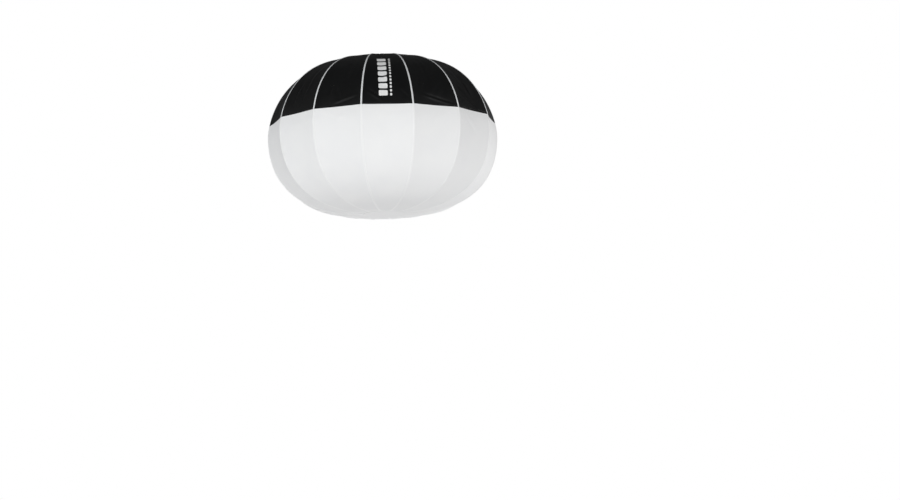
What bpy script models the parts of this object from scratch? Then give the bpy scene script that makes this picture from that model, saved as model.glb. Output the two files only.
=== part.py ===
"""A lantern softbox: a pumpkin of fabric, 1.2 m across, over fourteen folding ribs.

Metres, +Z up. The origin is the centre of the seat face that meets the lamp, and the
softbox hangs below it. Rib 01 stands half a gore to the +X side of the front (-Y).
Each rib is an upper and a lower rod with a knuckle between them. Ring pivot, knuckle
and hub pivot form a rhombus with the opposite rib, so the hub stays level as it folds.
"""
import math

import bmesh
import bpy
from mathutils import Vector

# Ribs and cover
RIBS = 14
GORE = 2 * math.pi / RIBS
FIRST_RIB = -math.pi / 2 + GORE / 2
COVER_R = 0.600
COVER_TOP_Z = -0.018
HALF_HEIGHT = 0.407
EQUATOR_Z = COVER_TOP_Z - HALF_HEIGHT
COVER_BOTTOM_Z = EQUATOR_Z - HALF_HEIGHT
SHOULDER_R = 0.118
SHOULDER_REACH = 0.4145
EQUATOR_REACH_UP = 0.076
EQUATOR_REACH_DOWN = 0.442
FOOT_R = 0.105
FOOT_REACH = 0.010
HEM_R = 0.107
SKIRT_EDGE_Z = EQUATOR_Z + 0.065
GORE_PULL_IN = 0.99
FABRIC = 0.0012
SEAM_GAP = 0.0005

# Rods
ROD_DEPTH = 0.0075
ROD_R = 0.00225
ROD_SIDES = 5
UPPER_BENDS = 10
LOWER_BENDS = 12
EYE_R = 0.0047
EYE_THICK = 0.0032
TONGUE_LENGTH = 0.018
TONGUE_WIDTH = 0.0062
EYE_TO_ROD = 0.009
KNUCKLE_PIN_R = 0.0019
KNUCKLE_HOLE_R = 0.0023
KNUCKLE_PIN_TIP = 0.0044
KNUCKLE_PIN_ROOT = 0.001
KNUCKLE_PIN_SIDES = 6
HALF_GAP = 0.00025

# Pivots, common to the ring and the hub
PIVOT_R = 0.085
RING_PIVOT_Z = COVER_TOP_Z - ROD_DEPTH
HUB_PIVOT_Z = COVER_BOTTOM_Z + ROD_DEPTH
WIRE_R = 0.0012
WIRE_HOLE_R = 0.0018
WIRE_SIDES = 5
GROOVE_FLOOR_R = 0.0834
GROOVE_HALF = 0.0016
RIM_R = 0.0925

# Bayonet ring: spigot and lugs above the seat face
SEAT_PLATE_R = 0.072
SEAT_PLATE_THICK = 0.0045
SPIGOT_R = 0.0485
SPIGOT_BORE_R = 0.0455
SPIGOT_HEIGHT = 0.012
LUG_R = 0.0535
LUG_BOTTOM = 0.0075
LUG_ANGLES = [math.radians(a) for a in (90, 210, 330)]
LUG_SPAN = math.radians(50)
LUG_STEPS = 8
SCREW_ANGLES = [math.radians(a) for a in (30, 150, 270)]
SCREW_R = 0.062
SCREW_HEAD_R = 0.0035
SCREW_HEAD = 0.0020
SCREW_HEAD_SUNK = 0.0002
SCREW_SIDES = 12
SCREW_SHANK_R = 0.0019
SCREW_END_Z = -0.0095

# Speed ring
RING_TOP_Z = -0.0048
RING_PLATE_BOTTOM_Z = -0.0100
RING_RIM_INNER_R = 0.0765
RING_RIM_BOTTOM_Z = RING_PIVOT_Z - 0.0055
SLEEVE_R = 0.0515
SLEEVE_BORE_R = 0.0495
SLEEVE_END_Z = -0.050
HOLDER_WIDTH = 0.010
SLOT_PLAY = 0.001
SLOT_ROOF_GAP = 0.0006
BUTTON_Z = -0.0165
BUTTON_HALF_WIDTH = 0.0045
BUTTON_HALF_HEIGHT = 0.0030
BUTTON_NOSE_R = 0.0735
BUTTON_CAP_INNER_R = 0.0957
BUTTON_CAP_OUTER_R = 0.0985
BUTTON_CAP_SKIN = 0.0005
BUTTON_CAP_WIDER = 0.002
BUTTON_CAP_LOWER = 0.0008
BUTTON_PLAY = 0.0004

# Rib holders and the collar that swings them
FINGER = 0.020
FINGER_DROP = math.radians(25)
FINGER_TIP_R = 0.0027
FINGER_NECK = 0.0022
HOLDER_EYE_R = 0.0050
HOLDER_EYE_SIDES = 10
HOLDER_STEP = 0.0004
SOCKET_END = SHOULDER_R - PIVOT_R
SOCKET_BORE_R = 0.0029
SOCKET_FLOOR = 0.012
ROD_START = 0.0135
COLLAR_BORE_R = 0.0521
COLLAR_R = 0.0700
COLLAR_GROOVE_R = 0.0615
COLLAR_GROOVE_HALF = 0.0032
COLLAR_HALF = 0.0062
COLLAR_Z = RING_PIVOT_Z - FINGER * math.sin(FINGER_DROP)
STOP_RING_TOP_Z = -0.0430
STOP_RING_BOTTOM_Z = -0.0450
STOP_RING_R = 0.0570

# Hub
HUB_HALF = 0.0050
HUB_PLATE_TOP = -0.0020
HUB_WALL_R = 0.0745
HUB_SLOT_R = 0.0790
HUB_EYE_R = 0.0045
HUB_EYE_WIDTH = 0.0050
HUB_EYE_OVERLAP = 0.001
HUB_COVER_R = 0.0780
HUB_COVER_BOTTOM = 0.0053
HUB_COVER_THICK = 0.0020
HUB_COVER_TAPER = 0.001
HUB_BOSS_R = 0.0100
HUB_SCREW_HOLE_R = 0.0034
HUB_SCREW_R = 0.0030
HUB_SCREW_HEAD_R = 0.0070
HUB_SCREW_HEAD = 0.0030
HUB_SCREW_GAP = 0.0003
HUB_SHANK_SHORT = 0.0005
HUB_SHANK_JOIN = 0.001

ROUND_STEPS = 3 * RIBS
PIN_SIDES = 8
CLEARANCE = 0.0004
OVERSHOOT = 0.003
BIG = 0.02
SHARP = math.radians(35)
CURVE_STEP = 1e-4
HALVINGS = 40


# ---------- curves ----------

def bezier(points, t):
    """A point on the cubic curve with these four control points."""
    a, b, c, d = (Vector(p) for p in points)
    s = 1 - t
    return a * s**3 + b * (3 * s * s * t) + c * (3 * s * t * t) + d * t**3


UPPER_RIDGE = [
    (SHOULDER_R, COVER_TOP_Z),
    (SHOULDER_R + SHOULDER_REACH, COVER_TOP_Z),
    (COVER_R, EQUATOR_Z + EQUATOR_REACH_UP),
    (COVER_R, EQUATOR_Z),
]
LOWER_RIDGE = [
    (COVER_R, EQUATOR_Z),
    (COVER_R, EQUATOR_Z - EQUATOR_REACH_DOWN),
    (FOOT_R + FOOT_REACH, COVER_BOTTOM_Z),
    (FOOT_R, COVER_BOTTOM_Z),
]


def inside(ridge, t, depth):
    """A point of the ridge, moved square to it by depth, towards the inside."""
    along = bezier(ridge, min(t + CURVE_STEP, 1)) - bezier(ridge, max(t - CURVE_STEP, 0))
    along.normalize()
    return bezier(ridge, t) + Vector((along.y, -along.x)) * depth


def where_height(ridge, z, depth=0.0):
    """The parameter at which a falling ridge, moved in by depth, passes a height."""
    low, high = 0.0, 1.0
    for _ in range(HALVINGS):
        middle = (low + high) / 2
        if inside(ridge, middle, depth).y > z:
            low = middle
        else:
            high = middle
    return (low + high) / 2


def spread(start, end, count):
    return [start + (end - start) * i / (count - 1) for i in range(count)]


def upper_stations():
    """Where the upper rods and the cover over them bend, so that they stay parallel."""
    return spread(0, where_height(UPPER_RIDGE, EQUATOR_Z + EYE_TO_ROD, ROD_DEPTH), UPPER_BENDS)


def lower_stations():
    return spread(where_height(LOWER_RIDGE, EQUATOR_Z - EYE_TO_ROD, ROD_DEPTH), 1, LOWER_BENDS)


# ---------- making objects ----------

def material(name, colour, roughness, metallic=0.0):
    made = bpy.data.materials.new(name)
    made.use_nodes = True
    shader = made.node_tree.nodes["Principled BSDF"]
    shader.inputs["Base Color"].default_value = (*colour, 1)
    shader.inputs["Roughness"].default_value = roughness
    shader.inputs["Metallic"].default_value = metallic
    return made


def mesh_from(bm, name):
    bmesh.ops.recalc_face_normals(bm, faces=bm.faces)
    mesh = bpy.data.meshes.new(name)
    bm.to_mesh(mesh)
    bm.free()
    return mesh


def helper(mesh):
    """An unfinished shape, used in a Boolean and then removed."""
    made = bpy.data.objects.new(mesh.name, mesh)
    bpy.context.collection.objects.link(made)
    return made


def combined(mesh, joins=(), cuts=()):
    """One mesh: the first, with some joined to it and then others cut from it."""
    body = helper(mesh)
    tools = [(helper(m), "UNION") for m in joins]
    tools += [(helper(m), "DIFFERENCE") for m in cuts]
    for tool, operation in tools:
        step = body.modifiers.new(operation, "BOOLEAN")
        step.operation = operation
        step.solver = "EXACT"
        step.object = tool
    graph = bpy.context.evaluated_depsgraph_get()
    result = bpy.data.meshes.new_from_object(body.evaluated_get(graph))
    result.name = mesh.name
    for used in [body] + [tool for tool, _ in tools]:
        bpy.data.objects.remove(used)
    return result


def empty(name, parent=None, location=(0, 0, 0), turn=0.0):
    made = bpy.data.objects.new(name, None)
    bpy.context.collection.objects.link(made)
    made.parent = parent
    made.location = location
    made.rotation_euler.z = turn
    return made


def node(name, mesh, look, parent):
    """A finished sub-part, shaded smooth with sharp edges kept."""
    made = bpy.data.objects.new(name, mesh)
    bpy.context.collection.objects.link(made)
    made.parent = parent
    if look.name not in mesh.materials:
        mesh.materials.clear()
        mesh.materials.append(look)
    mesh.shade_smooth()
    mesh.set_sharp_from_angle(angle=SHARP)
    return made


# ---------- basic shapes ----------

def turned(name, outline, start=0.0, arc=2 * math.pi, steps=ROUND_STEPS):
    """An (r, z) outline turned about Z: a whole ring, or a sector with closed ends."""
    whole = arc >= 2 * math.pi
    bm = bmesh.new()
    rings = []
    for i in range(steps if whole else steps + 1):
        angle = start + arc * i / steps
        rings.append([bm.verts.new((r * math.cos(angle), r * math.sin(angle), z)) for r, z in outline])
    if whole:
        rings.append(rings[0])
    for a, b in zip(rings, rings[1:]):
        for i in range(len(outline)):
            j = (i + 1) % len(outline)
            bm.faces.new((a[i], a[j], b[j], b[i]))
    if not whole:
        bm.faces.new(rings[0])
        bm.faces.new(rings[-1])
    return mesh_from(bm, name)


def disc(name, radius, bottom, top, centre=(0, 0), sides=PIN_SIDES):
    """A round pillar about a vertical line."""
    bm = bmesh.new()
    rings = []
    for z in (bottom, top):
        rings.append([
            bm.verts.new((
                centre[0] + radius * math.cos(2 * math.pi * i / sides),
                centre[1] + radius * math.sin(2 * math.pi * i / sides),
                z,
            ))
            for i in range(sides)
        ])
    for i in range(sides):
        j = (i + 1) % sides
        bm.faces.new((rings[0][i], rings[0][j], rings[1][j], rings[1][i]))
    bm.faces.new(rings[0])
    bm.faces.new(rings[1])
    return mesh_from(bm, name)


def pin(name, radius, x, z, y_low, y_high, sides=PIN_SIDES):
    """A round pillar along Y, square to a rib's plane."""
    mesh = disc(name, radius, -y_high, -y_low, (x, z), sides)
    for vertex in mesh.vertices:
        vertex.co = (vertex.co.x, -vertex.co.z, vertex.co.y)
    return upright(mesh)


def upright(mesh):
    """The mesh with its faces turned outwards."""
    bm = bmesh.new()
    bm.from_mesh(mesh)
    bmesh.ops.recalc_face_normals(bm, faces=bm.faces)
    bm.to_mesh(mesh)
    bm.free()
    return mesh


def slab(name, corners, y_low, y_high):
    """A flat plate whose outline is given in a rib's plane as (x, z)."""
    bm = bmesh.new()
    near = [bm.verts.new((x, y_low, z)) for x, z in corners]
    far = [bm.verts.new((x, y_high, z)) for x, z in corners]
    for i in range(len(corners)):
        j = (i + 1) % len(corners)
        bm.faces.new((near[i], near[j], far[j], far[i]))
    bm.faces.new(near)
    bm.faces.new(far)
    return mesh_from(bm, name)


def block(name, x, y, z):
    """A box from (low, high) pairs."""
    return slab(name, [(x[0], z[0]), (x[1], z[0]), (x[1], z[1]), (x[0], z[1])], *y)


def rod(name, path, radius=ROD_R, sides=ROD_SIDES):
    """A round rod along (x, z) points in a rib's plane."""
    bm = bmesh.new()
    points = [Vector((x, 0, z)) for x, z in path]
    across = Vector((0, 1, 0))
    rings = []
    for i, point in enumerate(points):
        along = (points[min(i + 1, len(points) - 1)] - points[max(i - 1, 0)]).normalized()
        up = along.cross(across)
        rings.append([
            bm.verts.new(
                point
                + across * (radius * math.cos(2 * math.pi * k / sides))
                + up * (radius * math.sin(2 * math.pi * k / sides))
            )
            for k in range(sides)
        ])
    for a, b in zip(rings, rings[1:]):
        for k in range(sides):
            m = (k + 1) % sides
            bm.faces.new((a[k], a[m], b[m], b[k]))
    bm.faces.new(rings[0])
    bm.faces.new(rings[-1])
    return mesh_from(bm, name)


def radial_slots(name, width, x, z):
    """Boxes standing out from the axis at every rib, as one cutter."""
    bm = bmesh.new()
    for k in range(RIBS):
        angle = FIRST_RIB + k * GORE
        out = Vector((math.cos(angle), math.sin(angle), 0))
        side = Vector((-out.y, out.x, 0))
        corners = {}
        for i, r in enumerate(x):
            for j, s in enumerate((-width / 2, width / 2)):
                for m, height in enumerate(z):
                    corners[i, j, m] = bm.verts.new(out * r + side * s + Vector((0, 0, height)))
        for fixed in range(3):
            for value in (0, 1):
                loop = []
                for p, q in ((0, 0), (1, 0), (1, 1), (0, 1)):
                    key = [p, q]
                    key.insert(fixed, value)
                    loop.append(corners[tuple(key)])
                bm.faces.new(loop)
    return mesh_from(bm, name)


# ---------- lamp end ----------

def bayonet_ring(look, parent):
    plate = turned("bayonet_ring", [
        (SPIGOT_BORE_R, -SEAT_PLATE_THICK),
        (SEAT_PLATE_R, -SEAT_PLATE_THICK),
        (SEAT_PLATE_R, 0),
        (SPIGOT_R, 0),
        (SPIGOT_R, SPIGOT_HEIGHT),
        (SPIGOT_BORE_R, SPIGOT_HEIGHT),
    ])
    wall = (SPIGOT_BORE_R + SPIGOT_R) / 2
    lugs = [
        turned(
            "lug",
            [(wall, LUG_BOTTOM), (LUG_R, LUG_BOTTOM), (LUG_R, SPIGOT_HEIGHT), (wall, SPIGOT_HEIGHT)],
            angle - LUG_SPAN / 2, LUG_SPAN, LUG_STEPS,
        )
        for angle in LUG_ANGLES
    ]
    holes = []
    for angle in SCREW_ANGLES:
        centre = (SCREW_R * math.cos(angle), SCREW_R * math.sin(angle))
        holes.append(disc("hole", SCREW_SHANK_R + CLEARANCE, -BIG, BIG, centre))
        recess = -SCREW_HEAD - CLEARANCE
        holes.append(disc("head", SCREW_HEAD_R + CLEARANCE, recess, BIG, centre))
    node("bayonet_ring", combined(plate, lugs, holes), look, parent)


def bayonet_screws(look, parent):
    for number, angle in enumerate(SCREW_ANGLES, 1):
        centre = (SCREW_R * math.cos(angle), SCREW_R * math.sin(angle))
        head = disc("screw", SCREW_HEAD_R, -SCREW_HEAD, -SCREW_HEAD_SUNK, centre, SCREW_SIDES)
        shank = disc("shank", SCREW_SHANK_R, SCREW_END_Z, -SCREW_HEAD / 2, centre)
        node(f"bayonet_screw_{number}", combined(head, [shank]), look, parent)


def speed_ring(look, parent):
    """Plate, guide sleeve and a notched rim with the wire's groove round it."""
    body = turned("speed_ring", [
        (SLEEVE_BORE_R, RING_TOP_Z),
        (RIM_R, RING_TOP_Z),
        (RIM_R, RING_PIVOT_Z + GROOVE_HALF),
        (GROOVE_FLOOR_R, RING_PIVOT_Z + GROOVE_HALF),
        (GROOVE_FLOOR_R, RING_PIVOT_Z - GROOVE_HALF),
        (RIM_R, RING_PIVOT_Z - GROOVE_HALF),
        (RIM_R, RING_RIM_BOTTOM_Z),
        (RING_RIM_INNER_R, RING_RIM_BOTTOM_Z),
        (RING_RIM_INNER_R, RING_PLATE_BOTTOM_Z),
        (SLEEVE_R, RING_PLATE_BOTTOM_Z),
        (SLEEVE_R, SLEEVE_END_Z),
        (SLEEVE_BORE_R, SLEEVE_END_Z),
    ])
    slots = radial_slots(
        "slots", HOLDER_WIDTH + SLOT_PLAY,
        (RING_RIM_INNER_R - OVERSHOOT, RIM_R + OVERSHOOT),
        (RING_RIM_BOTTOM_Z - OVERSHOOT, RING_PLATE_BOTTOM_Z - SLOT_ROOF_GAP),
    )
    cuts = [slots]
    width = BUTTON_HALF_WIDTH + BUTTON_PLAY
    height = BUTTON_HALF_HEIGHT + BUTTON_PLAY
    for side in (-1, 1):
        y = sorted((side * (RING_RIM_INNER_R - OVERSHOOT), side * (RIM_R + OVERSHOOT)))
        cuts.append(block("button_hole", (-width, width), y, (BUTTON_Z - height, BUTTON_Z + height)))
    for angle in SCREW_ANGLES:
        centre = (SCREW_R * math.cos(angle), SCREW_R * math.sin(angle))
        cuts.append(disc("hole", SCREW_SHANK_R + CLEARANCE, -BIG, 0, centre))
    node("speed_ring", combined(body, cuts=cuts), look, parent)


def wire(name, z, look, parent):
    outline = []
    for k in range(WIRE_SIDES):
        turn = 2 * math.pi * k / WIRE_SIDES
        outline.append((PIVOT_R + WIRE_R * math.cos(turn), z + WIRE_R * math.sin(turn)))
    node(name, turned(name, outline, FIRST_RIB), look, parent)


def opening_collar(look, parent):
    """Sliding collar with an outer groove for the holders' fingers."""
    node("opening_collar", turned("opening_collar", [
        (COLLAR_BORE_R, -COLLAR_HALF),
        (COLLAR_R, -COLLAR_HALF),
        (COLLAR_R, -COLLAR_GROOVE_HALF),
        (COLLAR_GROOVE_R, -COLLAR_GROOVE_HALF),
        (COLLAR_GROOVE_R, COLLAR_GROOVE_HALF),
        (COLLAR_R, COLLAR_GROOVE_HALF),
        (COLLAR_R, COLLAR_HALF),
        (COLLAR_BORE_R, COLLAR_HALF),
    ]), look, parent)


def collar_stop_ring(look, parent):
    inner = SLEEVE_R + CLEARANCE
    node("collar_stop_ring", turned("collar_stop_ring", [
        (inner, STOP_RING_BOTTOM_Z),
        (STOP_RING_R, STOP_RING_BOTTOM_Z),
        (STOP_RING_R, STOP_RING_TOP_Z),
        (inner, STOP_RING_TOP_Z),
    ]), look, parent)


def release_button(name, side, look, parent):
    """A button that is pushed in towards the axis; side is -1 in front, 1 behind."""
    stem_y = sorted((side * BUTTON_NOSE_R, side * (BUTTON_CAP_OUTER_R - BUTTON_CAP_SKIN)))
    cap_y = sorted((side * BUTTON_CAP_INNER_R, side * BUTTON_CAP_OUTER_R))
    half, tall = BUTTON_HALF_WIDTH, BUTTON_HALF_HEIGHT
    stem = block(name, (-half, half), stem_y, (-tall, tall))
    cap_half, cap_top = half + BUTTON_CAP_WIDER, tall + BUTTON_CAP_WIDER
    cap = block("cap", (-cap_half, cap_half), cap_y, (-tall - BUTTON_CAP_LOWER, cap_top))
    node(name, combined(stem, [cap]), look, empty(f"{name}_slide", parent, (0, 0, BUTTON_Z)))


# ---------- ribs ----------

def rib_holder_mesh():
    """Eye, socket and finger about the ring pivot, in a rib's plane."""
    half = HOLDER_WIDTH / 2
    tip = (-FINGER * math.cos(FINGER_DROP), -FINGER * math.sin(FINGER_DROP))
    side = Vector((-math.sin(FINGER_DROP), math.cos(FINGER_DROP))) * (FINGER_NECK / 2)
    neck = [(side.x, side.y), (tip[0] + side.x, tip[1] + side.y),
            (tip[0] - side.x, tip[1] - side.y), (-side.x, -side.y)]
    root, mouth = HOLDER_EYE_R - HOLDER_STEP, HOLDER_EYE_R - 2 * HOLDER_STEP
    socket = [(0, -root), (SOCKET_END, -mouth), (SOCKET_END, mouth), (0, root)]
    bore = rod("bore", [(SOCKET_FLOOR, 0), (SOCKET_END + OVERSHOOT, 0)], SOCKET_BORE_R)
    socket_half, tip_half, neck_half = (half - HOLDER_STEP * i for i in (1, 2, 3))
    return combined(
        pin("rib_holder", HOLDER_EYE_R, 0, 0, -half, half, HOLDER_EYE_SIDES),
        [
            slab("socket", socket, -socket_half, socket_half),
            slab("neck", neck, -neck_half, neck_half),
            pin("tip", FINGER_TIP_R, *tip, -tip_half, tip_half),
        ],
        [pin("hole", WIRE_HOLE_R, 0, 0, -BIG, BIG), bore],
    )


def tongue(name, x, z, downwards, y_low, y_high):
    """The flat stretch between an eye and its rod, above or below the knuckle."""
    half = TONGUE_WIDTH / 2
    end = z - TONGUE_LENGTH if downwards else z + TONGUE_LENGTH
    return slab(name, [(x - half, z), (x + half, z), (x + half, end), (x - half, end)], y_low, y_high)


def rib_upper_mesh():
    """Upper rod about the ring pivot: into the socket at one end, an eye at the other."""
    origin = Vector((PIVOT_R, RING_PIVOT_Z))
    path = [(ROD_START, 0)]
    path += [tuple(inside(UPPER_RIDGE, t, ROD_DEPTH) - origin) for t in upper_stations()]
    x, z = COVER_R - ROD_DEPTH - origin.x, EQUATOR_Z - origin.y
    y_low, y_high = HALF_GAP, HALF_GAP + EYE_THICK
    return combined(
        rod("rib_upper", path),
        [
            tongue("tongue", x, z, False, y_low, y_high),
            pin("eye", EYE_R, x, z, y_low, y_high),
        ],
        [pin("hole", KNUCKLE_HOLE_R, x, z, -BIG, BIG)],
    )


def rib_lower_mesh():
    """Lower rod about the knuckle: an eye with the pin above, the hub's eye below."""
    origin = Vector((COVER_R - ROD_DEPTH, EQUATOR_Z))
    path = [tuple(inside(LOWER_RIDGE, t, ROD_DEPTH) - origin) for t in lower_stations()]
    hub = Vector((PIVOT_R, HUB_PIVOT_Z)) - origin
    path.append((hub.x + HUB_EYE_R / 2 + HUB_EYE_OVERLAP, hub.y))
    y_low, y_high = -HALF_GAP - EYE_THICK, -HALF_GAP
    half = HUB_EYE_WIDTH / 2
    pin_root = y_high - KNUCKLE_PIN_ROOT
    return combined(
        rod("rib_lower", path),
        [
            tongue("tongue", 0, 0, True, y_low, y_high),
            pin("eye", EYE_R, 0, 0, y_low, y_high),
            pin("pin", KNUCKLE_PIN_R, 0, 0, pin_root, KNUCKLE_PIN_TIP, KNUCKLE_PIN_SIDES),
            pin("hub_eye", HUB_EYE_R, *hub, -half, half),
        ],
        [pin("hole", WIRE_HOLE_R, *hub, -BIG, BIG)],
    )


def ribs(rod_look, holder_look, parent):
    holder, upper, lower = rib_holder_mesh(), rib_upper_mesh(), rib_lower_mesh()
    knuckle_at = (COVER_R - ROD_DEPTH - PIVOT_R, 0, EQUATOR_Z - RING_PIVOT_Z)
    for k in range(RIBS):
        angle = FIRST_RIB + k * GORE
        place = (PIVOT_R * math.cos(angle), PIVOT_R * math.sin(angle), RING_PIVOT_Z)
        pivot = empty(f"ring_pivot_{k + 1:02}", parent, place, angle)
        node(f"rib_holder_{k + 1:02}", holder, holder_look, pivot)
        node(f"rib_upper_{k + 1:02}", upper, rod_look, pivot)
        knuckle = empty(f"knuckle_{k + 1:02}", pivot, knuckle_at)
        node(f"rib_lower_{k + 1:02}", lower, rod_look, knuckle)


# ---------- hub ----------

def hub(plastic, steel, parent):
    level = empty("hub_level", parent, (0, 0, HUB_PIVOT_Z))
    body = turned("bottom_hub", [
        (HUB_SCREW_HOLE_R, -HUB_HALF),
        (RIM_R, -HUB_HALF),
        (RIM_R, -GROOVE_HALF),
        (GROOVE_FLOOR_R, -GROOVE_HALF),
        (GROOVE_FLOOR_R, GROOVE_HALF),
        (RIM_R, GROOVE_HALF),
        (RIM_R, HUB_HALF),
        (HUB_WALL_R, HUB_HALF),
        (HUB_WALL_R, HUB_PLATE_TOP),
        (HUB_BOSS_R, HUB_PLATE_TOP),
        (HUB_BOSS_R, HUB_HALF),
        (HUB_SCREW_HOLE_R, HUB_HALF),
    ])
    slots = radial_slots(
        "slots", HUB_EYE_WIDTH + SLOT_PLAY, (HUB_SLOT_R, RIM_R + OVERSHOOT),
        (-HUB_HALF - OVERSHOOT, HUB_HALF + OVERSHOOT),
    )
    node("bottom_hub", combined(body, cuts=[slots]), plastic, level)
    cover_top = HUB_COVER_BOTTOM + HUB_COVER_THICK
    cover = turned("hub_cover", [
        (HUB_SCREW_HOLE_R, HUB_COVER_BOTTOM),
        (HUB_COVER_R, HUB_COVER_BOTTOM),
        (HUB_COVER_R - HUB_COVER_TAPER, cover_top),
        (HUB_SCREW_HOLE_R, cover_top),
    ])
    node("hub_cover", cover, plastic, level)
    head_z = cover_top + HUB_SCREW_GAP
    head = disc(
        "hub_screw", HUB_SCREW_HEAD_R, head_z, head_z + HUB_SCREW_HEAD, sides=SCREW_SIDES
    )
    shank = disc("shank", HUB_SCREW_R, HUB_SHANK_SHORT - HUB_HALF, cover_top + HUB_SHANK_JOIN)
    node("hub_screw", combined(head, [shank]), steel, level)
    wire("hub_wire", 0, steel, level)


# ---------- covers ----------

def cover_shell(name, outer, inner, closed, look, parent):
    """A thin shell over the ribs. Outer and inner are (r, z) ridge points, top to bottom;
    between two ribs the fabric runs straight and pulls in a little. A closed shell has
    a flat floor at its last point."""
    bm = bmesh.new()
    middle = math.cos(GORE / 2) * GORE_PULL_IN

    def ring(point):
        verts = []
        for k in range(2 * RIBS):
            angle = FIRST_RIB + k * GORE / 2
            r = point[0] * (1 if k % 2 == 0 else middle)
            verts.append(bm.verts.new((r * math.cos(angle), r * math.sin(angle), point[1])))
        return verts

    skins = [[ring(p) for p in side] for side in (outer, inner)]
    for rings in skins:
        for a, b in zip(rings, rings[1:]):
            bridge(bm, a, b)
    bridge(bm, skins[0][0], skins[1][0])
    if closed:
        for rings in skins:
            bm.faces.new(rings[-1])
    else:
        bridge(bm, skins[0][-1], skins[1][-1])
    node(name, mesh_from(bm, name), look, parent)


def bridge(bm, a, b):
    for i in range(len(a)):
        j = (i + 1) % len(a)
        bm.faces.new((a[i], a[j], b[j], b[i]))


def skirt(look, parent):
    edge = where_height(UPPER_RIDGE, SKIRT_EDGE_Z)
    stations = [t for t in upper_stations() if t < edge] + [edge]
    outer = [(HEM_R, COVER_TOP_Z)] + [tuple(bezier(UPPER_RIDGE, t)) for t in stations]
    inner = [(HEM_R, COVER_TOP_Z - FABRIC)] + [tuple(inside(UPPER_RIDGE, t, FABRIC)) for t in stations]
    cover_shell("skirt", outer, inner, False, look, parent)


def diffuser(look, parent):
    edge = where_height(UPPER_RIDGE, SKIRT_EDGE_Z - SEAM_GAP)
    above = [edge] + [t for t in upper_stations() if t > edge] + [1]
    below = lower_stations()
    outer = [tuple(bezier(UPPER_RIDGE, t)) for t in above]
    outer += [tuple(bezier(LOWER_RIDGE, t)) for t in below]
    inner = [tuple(inside(UPPER_RIDGE, t, FABRIC)) for t in above]
    inner += [tuple(inside(LOWER_RIDGE, t, FABRIC)) for t in below]
    cover_shell("diffuser", outer, inner, True, look, parent)


def main():
    for old in list(bpy.data.objects):
        bpy.data.objects.remove(old)
    aluminium = material("ring_aluminium", (0.55, 0.55, 0.57), 0.35, 1.0)
    steel = material("steel", (0.62, 0.62, 0.64), 0.30, 1.0)
    black_plastic = material("black_plastic", (0.02, 0.02, 0.02), 0.55)
    rod_black = material("rod_black", (0.03, 0.03, 0.03), 0.40)
    button_red = material("button_plastic", (0.45, 0.05, 0.03), 0.45)
    black_nylon = material("black_nylon", (0.012, 0.012, 0.013), 0.70)
    white_cloth = material("white_cloth", (0.86, 0.86, 0.87), 0.85)

    root = empty("lantern")
    bayonet_ring(aluminium, root)
    bayonet_screws(steel, root)
    speed_ring(aluminium, root)
    wire("ring_wire", RING_PIVOT_Z, steel, root)
    collar_stop_ring(steel, root)
    opening_collar(black_plastic, empty("collar_slide", root, (0, 0, COLLAR_Z)))
    release_button("release_button_front", -1, button_red, root)
    release_button("release_button_back", 1, button_red, root)
    ribs(rod_black, black_plastic, root)
    hub(black_plastic, steel, root)
    skirt(black_nylon, root)
    diffuser(white_cloth, root)


main()
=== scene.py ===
"""The looks of the lantern softbox: its sewn cover, tapes, finishes, light and camera.

Metres, +Z up, in the frame's own coordinates. Rib 01 stands half a gore to the +X side of
the front (-Y), as in the CAD. The cover is fourteen rib panels, each from the middle of one
gore to the middle of the next. A panel rides on its rib, and is cut into bands that narrow
towards the rib as the lantern folds, so that neighbours still meet between the ribs.
"""

import math
import random

import bpy
import numpy as np
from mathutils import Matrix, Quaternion, Vector


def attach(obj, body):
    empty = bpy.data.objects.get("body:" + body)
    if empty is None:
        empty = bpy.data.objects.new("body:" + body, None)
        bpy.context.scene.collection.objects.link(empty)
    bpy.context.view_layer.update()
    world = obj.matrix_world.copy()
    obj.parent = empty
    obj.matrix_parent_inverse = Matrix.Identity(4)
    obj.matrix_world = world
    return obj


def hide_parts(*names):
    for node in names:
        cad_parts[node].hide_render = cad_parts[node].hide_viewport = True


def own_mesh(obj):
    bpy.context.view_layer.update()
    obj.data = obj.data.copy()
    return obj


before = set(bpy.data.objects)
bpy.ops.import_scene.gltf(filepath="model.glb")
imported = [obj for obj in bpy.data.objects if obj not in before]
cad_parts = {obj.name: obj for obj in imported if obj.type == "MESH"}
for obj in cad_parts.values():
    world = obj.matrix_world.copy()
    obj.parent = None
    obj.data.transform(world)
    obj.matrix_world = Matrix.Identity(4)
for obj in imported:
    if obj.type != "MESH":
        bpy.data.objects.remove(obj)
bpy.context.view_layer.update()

# Cover, as in the CAD
RIBS = 14
GORE = 2 * math.pi / RIBS
FIRST_RIB = -math.pi / 2 + GORE / 2
GORE_PULL_IN = 0.99
HEM_R = 0.107
UPPER_RIDGE = [(0.118, -0.018), (0.5325, -0.018), (0.600, -0.349), (0.600, -0.425)]
LOWER_RIDGE = [(0.600, -0.425), (0.600, -0.867), (0.115, -0.832), (0.105, -0.832)]
FOOT_TUCK = (0.091, -0.8308)
SKIRT_EDGE_Z = -0.360
RIDGE_STEPS = 1500
SAME = 1e-6

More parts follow.
